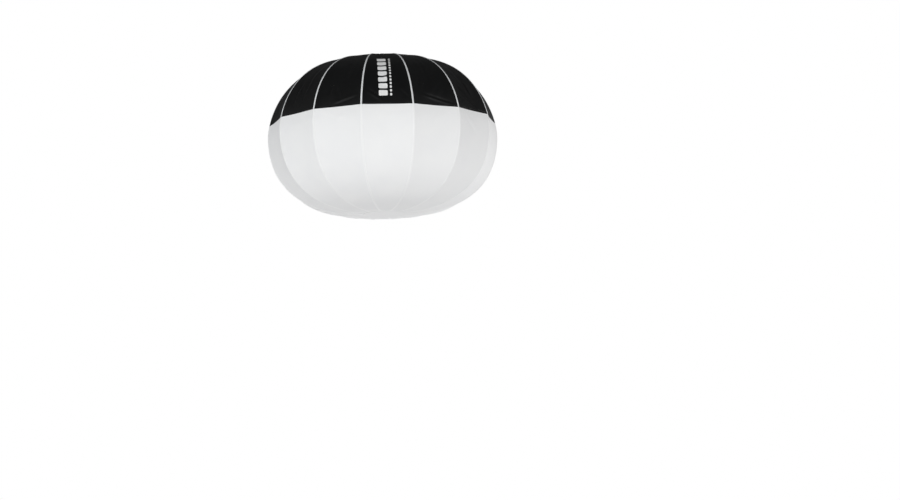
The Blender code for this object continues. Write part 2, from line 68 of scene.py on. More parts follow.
# Sewing
CLOTH = 0.0008
LAP = 0.010
LAP_DEPTH = 0.00095
LAP_THICK = 0.00035
GUSSET_ROOT = 0.0015
GUSSET = 0.036
GUSSET_DEPTH_BELOW = 0.0016
HEM = 0.012
HEM_RAISE = 0.0006
HEM_STEP = 0.0015
HEM_LIP = 0.0012
HEM_LIP_SHARE = 0.4
TOP_HEM_LIP = 0.0002
TUCK_UNDER = 0.0005
TUCK_FADE = 0.015
BINDING_START = 0.002
BINDING_WIDTHS = (0.006, 0.0085)
BINDING_RAISED = 0.0010
BINDING_PAST_HEM = 0.001
SEAM_WIDTHS = (0.012, 0.0105)
SEAM_RAISED = 0.0006
SEAM_PAST_FOOT = 0.004
PATCH_Z = -0.8331
BLACK_BANDS = 5
LOWER_BANDS = 6
BLACK_GRID = 0.0065
WHITE_GRID = 0.010

# Camera, seen from the middle of the lantern's widest line
CAMERA_DISTANCE = 14.665
CAMERA_AZIMUTH = math.radians(-2.59)
CAMERA_ELEVATION = math.radians(-10.37)
CAMERA_AIM = Vector((0.3352, -0.0152, -1.0297))
CAMERA_ROLL = math.radians(-1.53)
CAMERA_LENS = 112
CAMERA_FAR = 200
SENSOR_WIDTH = 36
FLOOR_Z = -3.3
FLOOR_SIDE = 120
MIDDLE = Vector((0, 0, UPPER_RIDGE[-1][1]))
SKY_RISE = (0.1, 0.8)
SKY_TURN = (-0.1, 0.5)


# ---------- the cover's surface ----------

def bezier(points, t):
    """Points on the cubic curve with these four control points."""
    a, b, c, d = (np.array(p) for p in points)
    t = np.asarray(t)[:, None]
    s = 1 - t
    return a * s**3 + b * (3 * s * s * t) + c * (3 * s * t * t) + d * t**3


def ridge_table():
    """The ridge line as (distance along it, radius, height), from the top hem to the foot tuck."""
    t = np.linspace(0, 1, RIDGE_STEPS)
    points = np.concatenate([
        [(HEM_R, UPPER_RIDGE[0][1])],
        bezier(UPPER_RIDGE, t),
        bezier(LOWER_RIDGE, t)[1:],
        [FOOT_TUCK],
    ])
    lengths = np.linalg.norm(np.diff(points, axis=0), axis=1)
    return np.concatenate([[0], np.cumsum(lengths)]), points[:, 0], points[:, 1]


ALONG, RIDGE_R, RIDGE_Z = ridge_table()
SKIRT_EDGE = float(np.interp(-SKIRT_EDGE_Z, -RIDGE_Z[:RIDGE_STEPS], ALONG[:RIDGE_STEPS]))
EQUATOR = float(ALONG[np.argmax(RIDGE_R)])
FOOT = float(ALONG[-2])
TUCK_END = float(ALONG[-1])


def ridge(s):
    """Radius and height of the ridge line at the distance s along it."""
    return np.interp(s, ALONG, RIDGE_R), np.interp(s, ALONG, RIDGE_Z)


def chord(s):
    """Straight width of a gore, from rib to rib."""
    return 2 * ridge(s)[0] * math.sin(GORE / 2)


def gore_base(gore, u, s):
    """The gore's smooth surface: straight from rib to rib, and pulled in a little between."""
    r, z = ridge(s)
    left = FIRST_RIB + gore * GORE
    x = r * ((1 - u) * np.cos(left) + u * np.cos(left + GORE))
    y = r * ((1 - u) * np.sin(left) + u * np.sin(left + GORE))
    pull = 4 * u * (1 - u) * r * math.cos(GORE / 2) * (1 - GORE_PULL_IN)
    return np.stack([
        x - pull * np.cos(left + GORE / 2),
        y - pull * np.sin(left + GORE / 2),
        z,
    ], axis=-1)


def normal_of(surface, gore, u, s, step=1e-3):
    across = surface(gore, np.minimum(u + step, 1), s) - surface(gore, np.maximum(u - step, 0), s)
    above, below = np.maximum(s - step, 0), np.minimum(s + step, TUCK_END)
    along = surface(gore, u, below) - surface(gore, u, above)
    n = np.cross(along, across)
    return n / np.linalg.norm(n, axis=-1, keepdims=True)


# Creases seen on the black gores that face the viewer: two ends as (fraction across, height
# above the skirt's edge), width and height
SEEN_CREASES = {
    10: [((0.30, 0.16), (0.45, 0.02), 0.012, 0.0020)],
    11: [((0.36, 0.20), (0.30, 0.03), 0.012, 0.0026), ((0.62, 0.19), (0.55, 0.02), 0.013, 0.0024)],
    12: [((0.35, 0.012), (0.95, 0.058), 0.010, 0.0034), ((0.36, 0.15), (0.30, 0.06), 0.011, 0.0030)],
    13: [((0.06, 0.092), (0.46, 0.018), 0.010, -0.0036), ((0.72, 0.10), (0.98, 0.03), 0.011, 0.0018)],
    0: [((0.18, 0.064), (0.98, 0.010), 0.009, -0.0038), ((0.30, 0.19), (0.16, 0.08), 0.013, 0.0026)],
    1: [((0.10, 0.085), (0.70, 0.012), 0.011, -0.0024), ((0.55, 0.20), (0.60, 0.07), 0.013, 0.0020)],
}


# Random creases. The ends lie this far to the sides of the gore's middle, and this far above
# the skirt's edge, or below it where negative. Widths are in metres and heights in millimetres.
SLANTED = {
    "start_side": (0.18, 0.42), "start_above": (0.13, 0.28), "end_side": (0.05, 0.38),
    "end_above": (0.005, 0.06), "widths": (0.012, 0.022), "heights": (0.9, 2.0),
}
ON_WHITE = {
    "start_side": (0.2, 0.4), "start_above": (-0.005, -0.03), "end_side": (0.1, 0.3),
    "end_above": (-0.06, -0.14), "widths": (0.012, 0.02), "heights": (0.3, 0.6),
}
HANGING = {
    "at": (0.2, 0.8), "start_above": (0.30, 0.42), "drift": (-0.06, 0.06),
    "end_above": (0.06, 0.16), "widths": (0.012, 0.02), "heights": (0.6, 1.3),
}
SLANTED_EACH, SLANTED_BESIDE_SEEN, HANGING_EACH, ON_WHITE_EACH = 3, 1, 2, 2
CREASE_SEED = 900
MILLIMETRE = 1e-3


def slanted_crease(dice, start_side, start_above, end_side, end_above, widths, heights):
    slant = dice.choice((-1, 1))
    start = (0.5 - slant * dice.uniform(*start_side), SKIRT_EDGE - dice.uniform(*start_above))
    end = (0.5 + slant * dice.uniform(*end_side), SKIRT_EDGE - dice.uniform(*end_above))
    return start, end, dice.uniform(*widths), dice.uniform(*heights) * MILLIMETRE


def hanging_crease(dice, at, start_above, drift, end_above, widths, heights):
    across = dice.uniform(*at)
    start = (across, SKIRT_EDGE - dice.uniform(*start_above))
    end = (across + dice.uniform(*drift), SKIRT_EDGE - dice.uniform(*end_above))
    return start, end, dice.uniform(*widths), dice.uniform(*heights) * MILLIMETRE


def creases_of(gore):
    """Each crease: two ends as (fraction across, distance along), width and height."""
    dice = random.Random(CREASE_SEED + gore)
    found = []
    for (u0, high0), (u1, high1), wide, tall in SEEN_CREASES.get(gore, []):
        found.append(((u0, SKIRT_EDGE - high0), (u1, SKIRT_EDGE - high1), wide, tall))
    for _ in range(SLANTED_BESIDE_SEEN if found else SLANTED_EACH):
        found.append(slanted_crease(dice, **SLANTED))
    for _ in range(HANGING_EACH):
        found.append(hanging_crease(dice, **HANGING))
    for _ in range(ON_WHITE_EACH):
        found.append(slanted_crease(dice, **ON_WHITE))
    return found


CREASES = {g: creases_of(g) for g in range(RIBS)}


# Waves across a gore and along each metre of it, and how high they and the creases stand
WAVES = ((1.0, 3.1), (1.9, 5.3), (0.6, 8.7))
WAVE_SHARES = (0.2, 0.5)
FULL_TURN = 6.28
WHITE_SHARE = 0.45
FREE_WIDTH = 0.26
COLOUR_BLEND = 0.012
CREASE_GAIN = 1.6
CREASE_PAST_END = 0.2
CREASE_HALF_LENGTH = 0.38
# Puckers beside the seams, and the stretches at the neck and the foot where cloth lies flat
PUCKER_HEIGHT = 0.00032
PUCKER_PITCH = 0.023
PUCKER_DRIFT, PUCKER_DRIFT_RATE = 2.2, 31
PUCKER_START, PUCKER_REACH = 0.007, 0.022
FLAT_AT_NECK, FLAT_AT_FOOT = 0.05, 0.08


def wrinkle(gore, u, s):
    """How far the cloth stands off its smooth surface."""
    gore = int(gore) % RIBS
    dice = random.Random(gore)
    width = chord(s)
    side = (u - 0.5) * width
    free = np.sqrt(np.clip(4 * u * (1 - u), 0, 1)) * np.clip(width / FREE_WIDTH, 0, 1)
    black = 1 / (1 + np.exp((s - SKIRT_EDGE) / COLOUR_BLEND))
    high = 0.0
    for across, down in WAVES:
        high += dice.uniform(*WAVE_SHARES) * np.sin(
            2 * math.pi * (across * u * dice.choice((-1, 1)) + down * s) + dice.uniform(0, FULL_TURN)
        )
    high *= MILLIMETRE * (WHITE_SHARE + (1 - WHITE_SHARE) * black)
    for (u0, s0), (u1, s1), wide, tall in CREASES[gore]:
        middle = chord((s0 + s1) / 2)
        start = np.array([(u0 - 0.5) * middle, s0])
        way = np.array([(u1 - 0.5) * middle, s1]) - start
        long = np.linalg.norm(way)
        way /= long
        at = (side - start[0]) * way[0] + (s - start[1]) * way[1]
        off = ((side - start[0]) * way[1] - (s - start[1]) * way[0]) / wide
        bow = np.clip(at / long, -CREASE_PAST_END, 1 + CREASE_PAST_END)
        fading = np.exp(-((bow - 0.5) / CREASE_HALF_LENGTH) ** 4)
        high = high + tall * off * np.exp(-off * off) * CREASE_GAIN * fading
    near = np.minimum(u, 1 - u) * width
    drift = PUCKER_DRIFT * np.sin(s * PUCKER_DRIFT_RATE + gore)
    pucker = np.sin(2 * math.pi * s / PUCKER_PITCH + drift)
    high = high + PUCKER_HEIGHT * pucker * np.clip(near / PUCKER_START, 0, 1) * np.exp(
        -near / PUCKER_REACH)
    ends = np.clip(s / FLAT_AT_NECK, 0, 1) * np.clip((FOOT - s) / FLAT_AT_FOOT, 0, 1)
    return free * high * ends


def gore_surface(gore, u, s):
    base = gore_base(gore, u, s)
    return base + normal_of(gore_base, gore, u, s) * wrinkle(gore, u, s)[..., None]


def rib_normal(rib, s, step=1e-3):
    """Square to the ridge line, in the rib's plane."""
    r1, z1 = ridge(np.minimum(s + step, TUCK_END))
    r0, z0 = ridge(np.maximum(s - step, 0))
    angle = FIRST_RIB + rib * GORE
    n = np.stack([(z0 - z1) * math.cos(angle), (z0 - z1) * math.sin(angle), r1 - r0], axis=-1)
    return n / np.linalg.norm(n, axis=-1, keepdims=True)


def cover_points(rib, v, s, depth):
    """Points of a rib's panel and the cloth's normals there. v is 0 on the rib and -1 or 1 in
    the middle of the gores beside it, and depth is below the outer face."""
    right = v > 0
    points, normals = np.zeros(v.shape + (3,)), np.zeros(v.shape + (3,))
    for gore, mine, u in ((rib, right, v / 2), (rib - 1, ~right, 1 + v / 2)):
        points[mine] = gore_surface(gore, u[mine], s[mine])
        normals[mine] = normal_of(gore_surface, gore, u[mine], s[mine])
    on_rib = np.abs(v) < SAME
    offset = normals.copy()
    offset[on_rib] = rib_normal(rib, s[on_rib])
    return points - offset * depth[..., None], normals


# ---------- sheets ----------

def swept_faces(rows, columns):
    """Quads of a closed loop of rows swept over the columns, and the caps on its two ends."""
    i, j = np.meshgrid(np.arange(rows), np.arange(columns - 1), indexing="ij")
    k = (i + 1) % rows
    quads = np.stack([
        i * columns + j, k * columns + j, k * columns + j + 1, i * columns + j + 1,
    ], axis=-1).reshape(-1, 4)
    caps = [np.arange(rows)[::-1] * columns, np.arange(rows) * columns + columns - 1]
    return quads, caps, i.reshape(-1)


def set_vectors(mesh, name, vectors):
    """A named vector on every point, for the materials to read."""
    made = mesh.attributes.new(name, "FLOAT_VECTOR", "POINT")
    made.data.foreach_set("vector", vectors.astype(np.float32).ravel())


def sheet_mesh(name, loop, v, rib, outer_rows, slots):
    """A closed thin shell: a loop of (distance along, depth, gusset) swept over the columns v.
    The gusset lengthens a row towards the middle of the gores. The loop's first outer_rows
    rows are the outer face, and the rest is the lining."""
    loop_s, loop_depth, loop_gusset = np.array(loop, float).T
    rows, columns = len(loop_s), len(v)
    grid_s = loop_s[:, None] + loop_gusset[:, None] * np.abs(v)[None]
    grid_v = np.repeat(v[None], rows, 0)
    grid_depth = np.repeat(loop_depth[:, None], columns, 1)
    points, normals = cover_points(rib, grid_v, grid_s, grid_depth)
    quads, caps, row_of_quad = swept_faces(rows, columns)
    faces = quads.tolist() + [cap.tolist() for cap in caps]
    mesh = bpy.data.meshes.new(name)
    mesh.from_pydata(points.reshape(-1, 3).tolist(), [], faces)
    mesh.shade_smooth()
    for slot in slots:
        mesh.materials.append(slot)
    outer = np.concatenate([row_of_quad, [rows, rows]]) < outer_rows - 1
    mesh.polygons.foreach_set("material_index", np.where(outer, 0, len(slots) - 1).astype(np.int32))
    side = grid_v * chord(grid_s) / 2
    set_vectors(mesh, "cloth_at", np.stack([side, grid_s, grid_s * 0], -1))
    split_normals(mesh, normals.reshape(-1, 3), outer, columns, rib)
    return mesh, points


def split_normals(mesh, normals, outer, columns, rib):
    """The outer face's corners get the whole cover's normals, so that no band's edge shows."""
    corner_vertex = np.zeros(len(mesh.loops), np.int32)
    mesh.loops.foreach_get("vertex_index", corner_vertex)
    sizes = np.zeros(len(mesh.polygons), np.int32)
    mesh.polygons.foreach_get("loop_total", sizes)
    flat = np.zeros(len(mesh.polygons) * 3, np.float32)
    mesh.polygons.foreach_get("normal", flat)
    face_of_corner = np.repeat(np.arange(len(sizes)), sizes)
    chosen = np.where(
        outer[face_of_corner][:, None], normals[corner_vertex], flat.reshape(-1, 3)[face_of_corner]
    )
    centres = np.zeros(len(mesh.polygons) * 3, np.float32)
    mesh.polygons.foreach_get("center", centres)
    tangent = np.array(tangent_of(rib))
    face_side = centres.reshape(-1, 3) @ tangent
    on_rib = corner_vertex % columns == columns // 2
    swap = on_rib & outer[face_of_corner] & (face_side[face_of_corner] > 0)
    # A ridge corner belongs to two gores. The stored normal is one gore's, and its mirror
    # image is the other's.
    n = chosen[swap]
    chosen[swap] = n - 2 * (n @ tangent)[:, None] * tangent
    mesh.normals_split_custom_set(chosen.astype(float).tolist())


def tangent_of(rib):
    """The level direction square to a rib's plane."""
    angle = FIRST_RIB + rib * GORE
    return -math.sin(angle), math.cos(angle), 0


def placed(name, mesh, body):
    made = bpy.data.objects.new(name, mesh)
    bpy.context.scene.collection.objects.link(made)
    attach(made, body)
    return made


def spaced(start, end, grid):
    return np.linspace(start, end, max(3, round((end - start) / grid) + 1))


def lap_rows(edge, reach, gusset, depth):
    """The loop's rows that run on under a neighbour: out at one depth, and back below it."""
    out = [(edge, 0), ((edge + reach) / 2, gusset / 2), (reach, gusset)]
    rows = [(s, depth, wide) for s, wide in out]
    return rows + [(s, depth + LAP_THICK, wide) for s, wide in out[::-1]]


def band(rib, part, start, end, grid, slots, hem_top=False, hem_bottom=False, tuck=0.0,
         laps=("start",), gusset_end="", gusset_depth=LAP_DEPTH):
    """One band of a rib's panel. It runs on under its neighbours at the ends in laps. At the
    knuckle's end it does so in a gusset that widens towards the middle of the gores."""
    upper = start < EQUATOR - SAME
    outer_s = list(spaced(start, end, grid))
    if hem_bottom:
        fold = [end - HEM - HEM_STEP, end - HEM, end - HEM_LIP, end]
        outer_s = [s for s in outer_s if s < fold[0] - HEM_STEP] + fold
    outer_s = np.array(outer_s)
    outer_depth = np.zeros(len(outer_s))
    if hem_bottom:
        outer_depth[-3:] = -HEM_RAISE
        outer_depth[-1] = -HEM_RAISE * HEM_LIP_SHARE
    if hem_top:
        outer_depth[0] = -TOP_HEM_LIP
        outer_depth[1:3] = -HEM_RAISE
    if tuck:
        outer_depth += tuck * np.exp(-(outer_s - start) / TUCK_FADE)
    outer = list(zip(outer_s, outer_depth, outer_s * 0))
    inner_depth = CLOTH + (outer_depth if tuck else outer_depth * 0)
    inner = list(zip(outer_s, inner_depth, outer_s * 0))[::-1]
    loop = outer
    for where, edge, sign in (("end", end, 1), ("start", start, -1)):
        rows = []
        if where == gusset_end:
            rows = lap_rows(edge, edge + sign * GUSSET_ROOT, sign * GUSSET, gusset_depth)
        elif where in laps:
            reach = min(edge + sign * LAP, TUCK_END)
            rows = lap_rows(edge, reach, 0, LAP_DEPTH)
        if where == "end":
            loop += rows + (inner[1:] if rows else inner)
        elif rows:
            loop = loop[:-1] + rows[::-1]
    half = max(4, round(chord(np.array([start, end])).max() / 2 / grid))
    v = np.linspace(-1, 1, 2 * half + 1)
    number = f"{rib + 1:02}"
    name = f"{part}_{number}"
    mesh, points = sheet_mesh(name, loop, v, rib, len(outer_s), slots)
    body = f"{'upper' if upper else 'lower'}_{number}"
    made = placed(name, mesh, body)
    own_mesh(made)
    return made


# ---------- materials ----------

NOISE_LOW, NOISE_HIGH = 0.3, 0.7
THREAD_HALF = 0.0004
STITCH_PITCH, STITCH_SHARE = 0.0032, 0.7
SKIRT_HEM_STITCHES = SKIRT_EDGE - HEM + 0.002
NECK_HEM_STITCHES = HEM - 0.003

# The printed mark on the front gore: blocks and dashes, from the gore's middle line and from
# this height above the skirt's edge
MARK_FOOT = 0.048
BLOCKS = {"left": -0.040, "right": 0.005, "count": 7, "pitch": 0.043, "gap": 0.011, "corner": 0.007}
DASHES = {"left": 0.017, "right": 0.027, "count": 13, "pitch": 0.023, "gap": 0.009, "corner": 0.0035}
MARK_MARGIN = 0.001

# Tape, where x runs from -1 to 1 across it
TAPE_STITCH_AT, TAPE_STITCH_HALF = 0.72, 0.07
TAPE_STITCH_PITCH, TAPE_STITCH_SHARE = 0.004, 0.68
TAPE_RIB_PITCH = 0.0012


class Look:
    """A material and its nodes, built call by call."""

    def __init__(self, name, colour, roughness, metallic=0.0, **sockets):
        self.material = bpy.data.materials.new(name)
        self.material.use_nodes = True
        self.tree = self.material.node_tree
        self.shader = self.tree.nodes["Principled BSDF"]
        self.set(Base_Color=(*colour, 1), Roughness=roughness, Metallic=metallic, **sockets)

    def feed(self, value, socket):
        """Links another node's output to a socket, or sets a plain value on it."""
        if isinstance(value, bpy.types.NodeSocket):
            self.tree.links.new(value, socket)
        else:
            socket.default_value = value

    def set(self, **sockets):
        for name, value in sockets.items():
            self.feed(value, self.shader.inputs[name.replace("_", " ")])

    def node(self, kind, inputs=None, **settings):
        made = self.tree.nodes.new("ShaderNode" + kind)
        for name, value in settings.items():
            setattr(made, name, value)
        for name, value in (inputs or {}).items():
            self.feed(value, made.inputs[name])
        return made

    def math(self, operation, a, b=0.0, c=0.0):
        made = self.node("Math", {0: a, 1: b, 2: c}, operation=operation)
        return made.outputs[0]

    def place(self):
        return self.node("TexCoord").outputs["Object"]

    def attribute(self, name):
        return self.node("Attribute", attribute_name=name).outputs["Vector"]

    def parts(self, vector):
        split = self.node("SeparateXYZ", {0: vector})
        return split.outputs[0], split.outputs[1], split.outputs[2]

    def noise(self, scale, detail=3.0, rough=0.5, vector=None):
        made = self.node("TexNoise", {
            "Vector": vector or self.place(), "Scale": scale, "Detail": detail, "Roughness": rough,
        })
        return made.outputs["Fac"]

    def spread(self, factor, low, high):
        """Stretches a noise, which stays between NOISE_LOW and NOISE_HIGH, from low to high."""
        made = self.node("MapRange", {"Value": factor, "From Min": NOISE_LOW, "From Max": NOISE_HIGH,
                                      "To Min": low, "To Max": high})
        return made.outputs["Result"]

    def mix(self, factor, a, b):
        made = self.node("Mix", data_type="RGBA")
        for socket, value in (("Factor_Float", factor), ("A_Color", a), ("B_Color", b)):
            target = next(x for x in made.inputs if x.identifier == socket)
            self.feed((*value, 1) if isinstance(value, tuple) else value, target)
        return next(x for x in made.outputs if x.identifier == "Result_Color")

    def bump(self, height, distance, strength=1.0, normal=None):
        inputs = {"Height": height, "Distance": distance, "Strength": strength}
        if normal is not None:
            inputs["Normal"] = normal
        return self.node("Bump", inputs).outputs["Normal"]

    def weave(self, pitch, vector):
        """Height of a plain weave with this pitch, from 0 to 1."""
        x, y, _ = self.parts(vector)
        turn = 2 * math.pi / pitch
        a = self.math("SINE", self.math("MULTIPLY", x, turn))
        b = self.math("SINE", self.math("MULTIPLY", y, turn))
        return self.math("MULTIPLY_ADD", self.math("MULTIPLY", a, b), 0.5, 0.5)

    def stitch_row(self, cloth_at, along):
        """1 on the threads of a row of stitches across the cloth, at this distance along it."""
        x, y, _ = self.parts(cloth_at)
        away = self.math("ABSOLUTE", self.math("SUBTRACT", y, along))
        in_row = self.math("LESS_THAN", away, THREAD_HALF)
        return self.math("MULTIPLY", in_row, self.dashes(x, STITCH_PITCH, STITCH_SHARE))

    def dashes(self, at, pitch, share):
        """1 over this share of every pitch."""
        return self.math("LESS_THAN", self.math("FRACT", self.math("DIVIDE", at, pitch)), share)

    def radius(self, x, y):
        squares = self.math("ADD", self.math("MULTIPLY", x, x), self.math("MULTIPLY", y, y))
        return self.math("SQRT", squares)


def shade(colour, share):
    return tuple(c * share for c in colour)


def black_nylon(name, printed=False):
    """Coated nylon in a fine weave, with its hem stitches, and ink on the front gore."""
    look = Look(name, (0.002, 0.002, 0.0022), 0.5, IOR=1.3)
    cloudy = look.noise(scale=7, detail=4)
    dark, light = (0.0012, 0.0013, 0.0015), (0.0026, 0.0028, 0.0031)
    base = look.mix(look.spread(cloudy, 0.0, 1.0), dark, light)
    rough = look.spread(look.noise(scale=22, detail=3), 0.42, 0.54)
    at = look.attribute("cloth_at")
    normal = look.bump(look.noise(scale=38, detail=4, rough=0.55), distance=0.0012, strength=0.5)
    weave = look.weave(pitch=0.0011, vector=at)
    normal = look.bump(weave, distance=0.00008, strength=0.6, normal=normal)
    stitches = look.math(
        "MAXIMUM", look.stitch_row(at, SKIRT_HEM_STITCHES), look.stitch_row(at, NECK_HEM_STITCHES))
    normal = look.bump(stitches, distance=0.0004, strength=0.9, normal=normal)
    base = look.mix(look.math("MULTIPLY", stitches, 0.8), base, (0.02, 0.02, 0.02))
    if printed:
        worn = look.spread(look.noise(scale=160, detail=4), 0.86, 1.0)
        ink = look.math("MULTIPLY", printed_mark(look), worn)
        base = look.mix(ink, base, (0.90, 0.90, 0.90))
        rough = look.math("MULTIPLY_ADD", ink, -0.12, rough)
    look.set(Base_Color=base, Roughness=rough, Normal=normal)
    return look.material


def printed_mark(look):
    """A plain column of blocks beside a dashed line: 1 where there is ink."""
    x, y, _ = look.parts(look.attribute("print_at"))

    def column(left, right, count, pitch, gap, corner):
        high = MARK_FOOT + count * pitch - gap
        half_x, half_y = (right - left) / 2 - corner, (pitch - gap) / 2 - corner
        beside = look.math("ABSOLUTE", look.math("SUBTRACT", x, (left + right) / 2))
        first = look.math("SUBTRACT", y, MARK_FOOT + (pitch - gap) / 2)
        step = look.math("PINGPONG", first, pitch / 2)
        out_x = look.math("MAXIMUM", look.math("SUBTRACT", beside, half_x), 0.0)
        out_y = look.math("MAXIMUM", look.math("SUBTRACT", step, half_y), 0.0)
        within = look.math("LESS_THAN", look.radius(out_x, out_y), corner)
        above = look.math("GREATER_THAN", y, MARK_FOOT - MARK_MARGIN)
        below = look.math("LESS_THAN", y, high + MARK_MARGIN)
        return look.math("MULTIPLY", within, look.math("MULTIPLY", above, below))

    return look.math("MAXIMUM", column(**BLOCKS), column(**DASHES))


def silver_lining():
    """The crumpled silver coating inside the skirt."""
    look = Look("silver_lining", (0.62, 0.62, 0.63), 0.38, metallic=0.85)
    rough = look.spread(look.noise(scale=40, detail=3), 0.30, 0.48)
    crumple = look.noise(scale=60, detail=5, rough=0.6)
    normal = look.bump(crumple, distance=0.001, strength=0.5)
    look.set(Roughness=rough, Normal=normal)
    return look.material


def white_cloth(name, light, dark):
    """Matt white diffusion cloth, a little cloudy, in a fine weave."""
    look = Look(name, light, 0.82, Specular_IOR_Level=0.3)
    base = look.mix(look.spread(look.noise(scale=9, detail=4), 0.0, 1.0), dark, light)
    rough = look.spread(look.noise(scale=50, detail=2), 0.76, 0.88)
    normal = look.bump(look.noise(scale=30, detail=3), distance=0.0008, strength=0.25)
    weave = look.weave(pitch=0.0009, vector=look.attribute("cloth_at"))
    normal = look.bump(weave, distance=0.00006, strength=0.5, normal=normal)
    look.set(Base_Color=base, Roughness=rough, Normal=normal)
    return look.material


def tape_cloth(name, light, dark, thread):
    """Ribbed binding tape with a row of stitches along each edge."""
    look = Look(name, light, 0.7, Specular_IOR_Level=0.35)
    x, y, _ = look.parts(look.attribute("tape_at"))
    base = look.mix(look.spread(look.noise(scale=120, detail=3), 0.0, 1.0), dark, light)
    rough = look.spread(look.noise(scale=200, detail=2), 0.62, 0.8)
    edge = look.math("SUBTRACT", look.math("ABSOLUTE", x), TAPE_STITCH_AT)
    in_row = look.math("LESS_THAN", look.math("ABSOLUTE", edge), TAPE_STITCH_HALF)
    stitch = look.math("MULTIPLY", in_row, look.dashes(y, TAPE_STITCH_PITCH, TAPE_STITCH_SHARE))
    base = look.mix(stitch, base, thread)
    rib = look.math("SINE", look.math("MULTIPLY", y, 2 * math.pi / TAPE_RIB_PITCH))
    normal = look.bump(rib, distance=0.00008, strength=0.5)
    normal = look.bump(stitch, distance=0.0003, strength=0.8, normal=normal)
    look.set(Base_Color=base, Roughness=rough, Normal=normal)
    return look.material


def turned_metal(name, colour, roughness, groove):
    """Lathe-turned metal: fine rings about the axis, and a few smudges."""
    look = Look(name, colour, roughness, metallic=0.85)
    x, y, z = look.parts(look.place())
    along = look.math("ADD", look.radius(x, y), z)
    rings = look.math("SINE", look.math("MULTIPLY", along, 2 * math.pi / groove))
    smudge = look.noise(scale=45, detail=4, rough=0.6)
    base = look.mix(look.spread(smudge, 0.0, 1.0), shade(colour, 0.92), colour)
    rough = look.spread(smudge, roughness + 0.1, roughness - 0.06)
    normal = look.bump(rings, distance=0.00004, strength=0.6)
    look.set(Base_Color=base, Roughness=rough, Normal=normal)
    return look.material


def moulded(name, colour, roughness, grain=900):
    """Moulded plastic: fine spark-eroded grain, and slightly polished high spots."""
    look = Look(name, colour, roughness, Specular_IOR_Level=0.45)
    cloudy = look.spread(look.noise(scale=60, detail=3), 0.0, 1.0)
    base = look.mix(cloudy, shade(colour, 0.8), shade(colour, 1.15))
    rough = look.spread(look.noise(scale=150, detail=3), roughness - 0.07, roughness + 0.08)
    normal = look.bump(look.noise(scale=grain, detail=2), distance=0.00012, strength=0.5)
    look.set(Base_Color=base, Roughness=rough, Normal=normal)
    return look.material


def drawn_rod(name, colour, roughness):
    """Painted rod: a faintly cloudy and uneven coat under a thin clear one."""
    look = Look(name, colour, roughness, Specular_IOR_Level=0.5, Coat_Weight=0.15, Coat_Roughness=0.25)
    coat = look.spread(look.noise(scale=25, detail=3), 0.0, 1.0)
    base = look.mix(coat, shade(colour, 0.7), shade(colour, 1.3))
    rough = look.spread(look.noise(scale=300, detail=2), roughness - 0.06, roughness + 0.08)
    normal = look.bump(look.noise(scale=420, detail=2), distance=0.00006, strength=0.4)
    look.set(Base_Color=base, Roughness=rough, Normal=normal)
    return look.material


LOOKS = {
    "skirt": black_nylon("black_nylon"),
    "skirt_printed": black_nylon("black_nylon_printed", printed=True),
    "lining": silver_lining(),
    "diffuser": white_cloth("diffusion_cloth", (0.86, 0.86, 0.862), (0.842, 0.843, 0.85)),
    "tape": tape_cloth("binding_tape", (0.80, 0.81, 0.82), (0.68, 0.69, 0.70), (0.88, 0.88, 0.88)),
    "seam": tape_cloth("seam_tape", (0.90, 0.90, 0.90), (0.88, 0.88, 0.885), (0.92, 0.92, 0.92)),
    "aluminium": turned_metal("turned_aluminium", (0.84, 0.84, 0.85), 0.40, 0.0006),
    "steel": turned_metal("bright_steel", (0.68, 0.68, 0.70), 0.30, 0.0004),
    "plastic": moulded("moulded_black", (0.018, 0.018, 0.019), 0.52),
    "rod": drawn_rod("rod_black", (0.022, 0.022, 0.023), 0.36),
    "button": moulded("button_red", (0.42, 0.035, 0.02), 0.42, 600),
}


# ---------- building the cover ----------

def print_coordinates(made, rib):
    """Where each point lies from the middle of the front gore, and above the skirt's edge."""
    mesh = made.data
    at = np.zeros(len(mesh.vertices) * 3, np.float32)
    mesh.attributes["cloth_at"].data.foreach_get("vector", at)
    at = at.reshape(-1, 3)
    middle = chord(at[:, 1]) / 2 * (1 if rib == 0 else -1)
    set_vectors(mesh, "print_at", np.stack([at[:, 0] + middle, SKIRT_EDGE - at[:, 1], at[:, 2]], -1))


def panels(rib):
    """A rib's bands: black from the neck, then white down to the foot."""
    cuts = np.linspace(0, SKIRT_EDGE, BLACK_BANDS + 1)
    front = rib in (0, RIBS - 1)
    outside = LOOKS["skirt_printed" if front else "skirt"]
    for i in range(BLACK_BANDS):
        made = band(
            rib, f"skirt_panel_{i + 1}", cuts[i], cuts[i + 1], BLACK_GRID, [outside, LOOKS["lining"]],
            hem_top=i == 0, hem_bottom=i == BLACK_BANDS - 1, laps=("start",) if i else (),
        )
        if front:
            print_coordinates(made, rib)
        if rib == 0 and i == 0:
            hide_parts("skirt")
    white = [LOOKS["diffuser"]]
    band(
        rib, "diffuser_panel_1", SKIRT_EDGE, EQUATOR, WHITE_GRID, white, tuck=TUCK_UNDER,
        gusset_end="end",
    )
    cuts = np.linspace(EQUATOR, FOOT, LOWER_BANDS + 1)
    for i in range(LOWER_BANDS):
        made = band(
            rib, f"diffuser_panel_{i + 2}", cuts[i], cuts[i + 1], WHITE_GRID, white, laps=("end",),
            gusset_end="" if i else "start", gusset_depth=GUSSET_DEPTH_BELOW,
        )
        if rib == 0 and i == 0:
            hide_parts("diffuser")


# Half a tape's height across it, as (fraction of the half width, share of its height)
TAPE_HALF_PROFILE = [(0, 0.6), (0.25, 0.9), (0.6, 1), (0.94, 1), (1, 0.15)]
TAPE_UNDERSIDE = (0.6, 0, -0.6)
TAPE_CLEARANCE = 0.00003
TAPE_GRID = 0.008
TAPE_SHARP = math.radians(50)


